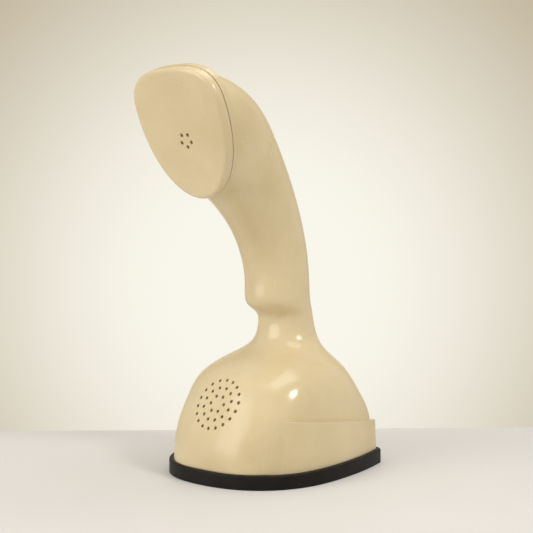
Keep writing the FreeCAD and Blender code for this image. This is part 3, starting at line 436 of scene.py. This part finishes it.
BACKDROP_BACK = 1.2
BACKDROP_HALF_WIDTH = 0.95
BACKDROP_FOOT = -0.75
BACKDROP_TOP = 1.15
# Where the backdrop's painted pool of light sits, and how far it reaches before it fades to painted
# shade.
PAINTED_LIGHT_HEIGHT = 0.02
PAINTED_LIGHT_CORE = 0.12
PAINTED_LIGHT_REACH = 0.78
# The backdrop glows by itself. Its colour is a painted pool of light around a point behind the handle,
# fading to darker painted shade at the edges.
glowing_backdrop, paper_place = new_material("warm_backdrop_glowing_painted_light")
painted_light_centre = middle - to_camera * BACKDROP_BACK + Vector((0, 0, PAINTED_LIGHT_HEIGHT))
distance_from_painted_light = add(glowing_backdrop, "VectorMath",
               {"operation": "DISTANCE", "Vector_001": tuple(painted_light_centre)}, {"Vector": paper_place})
painted_light_falloff = add(glowing_backdrop, "MapRange",
           {"interpolation_type": "SMOOTHSTEP", "From Min": PAINTED_LIGHT_CORE, "From Max": PAINTED_LIGHT_REACH},
           {"Value": distance_from_painted_light.outputs["Value"]})
painted_light_tone = add(glowing_backdrop, "Mix", {"data_type": "RGBA", "A_Color": linear("#F9F6EB"),
                                         "B_Color": linear("#B9AB8E")},
                 {"Factor_Float": painted_light_falloff.outputs["Result"]})
show(glowing_backdrop, add(glowing_backdrop, "Emission", {"Strength": 1.0},
                         {"Color": painted_light_tone.outputs[2]}))
card("backdrop", stage_corners(-BACKDROP_BACK, -BACKDROP_BACK, BACKDROP_HALF_WIDTH,
                               BACKDROP_FOOT, BACKDROP_TOP), glowing_backdrop)


# ---------------------------------------------------------------- lights
# Two soft boxes and a top light. The left box is large and gives broad soft reflections.
# The right one is small and gives the crisp highlights on the dome and the neck.
LAMP_AIM_HEIGHT = 0.11


def soft_box(name, along, across, height, size_x, size_y, power, colour):
    """A rectangular lamp, placed along and across the view and turned to the telephone."""
    lamp = bpy.data.lights.new(name, "AREA")
    lamp.shape = "RECTANGLE"
    lamp.size = size_x
    lamp.size_y = size_y
    lamp.energy = power
    lamp.color = linear(colour)[:3]
    thing = bpy.data.objects.new(name, lamp)
    bpy.context.collection.objects.link(thing)
    thing.location = middle + to_camera * along + rightward * across + Vector((0, 0, height))
    toward = Vector((0, 0, LAMP_AIM_HEIGHT)) + middle - thing.location
    thing.rotation_euler = toward.to_track_quat("-Z", "Y").to_euler()


soft_box("left_soft_box", 0.55, -0.95, 0.5, 0.8, 0.9, 6.9, "#FFFBF4")
soft_box("right_soft_box", 0.6, 0.7, 0.75, 0.24, 0.24, 4.4, "#FFFBF4")
soft_box("top_soft_box", 0.1, 0.1, 1.2, 0.9, 0.7, 5.0, "#FFFCF7")

SURROUNDINGS_STRENGTH = 0.62
surroundings = bpy.data.worlds.new("studio_surroundings")
bpy.context.scene.world = surroundings
surroundings.use_nodes = True
room_light = surroundings.node_tree.nodes["Background"].inputs
room_light["Color"].default_value = linear("#F3F0EA")
room_light["Strength"].default_value = SURROUNDINGS_STRENGTH
bpy.context.scene.view_settings.view_transform = "Standard"


# ---------------------------------------------------------------- camera
# It stands a little above the base, and looks slightly down at the telephone.
CAMERA_HEIGHT = 0.1458
LOOK_DOWN = math.radians(3.0)
LOOK_ASIDE = -0.0037
ROLL = math.radians(-0.37)
SENSOR_MM = 36
LENS_MM = 78.5
view = bpy.data.cameras.new("camera")
view.sensor_width = SENSOR_MM
view.lens = LENS_MM
camera = bpy.data.objects.new("camera", view)
bpy.context.collection.objects.link(camera)
camera.location = middle + to_camera * VIEW_DISTANCE + Vector((0, 0, CAMERA_HEIGHT))
look = (Matrix.Rotation(VIEW_TURN + LOOK_ASIDE, 4, "Z")
        @ Matrix.Rotation(math.pi / 2 - LOOK_DOWN, 4, "X")
        @ Matrix.Rotation(ROLL, 4, "Z"))
camera.rotation_euler = look.to_euler()
bpy.context.scene.camera = camera
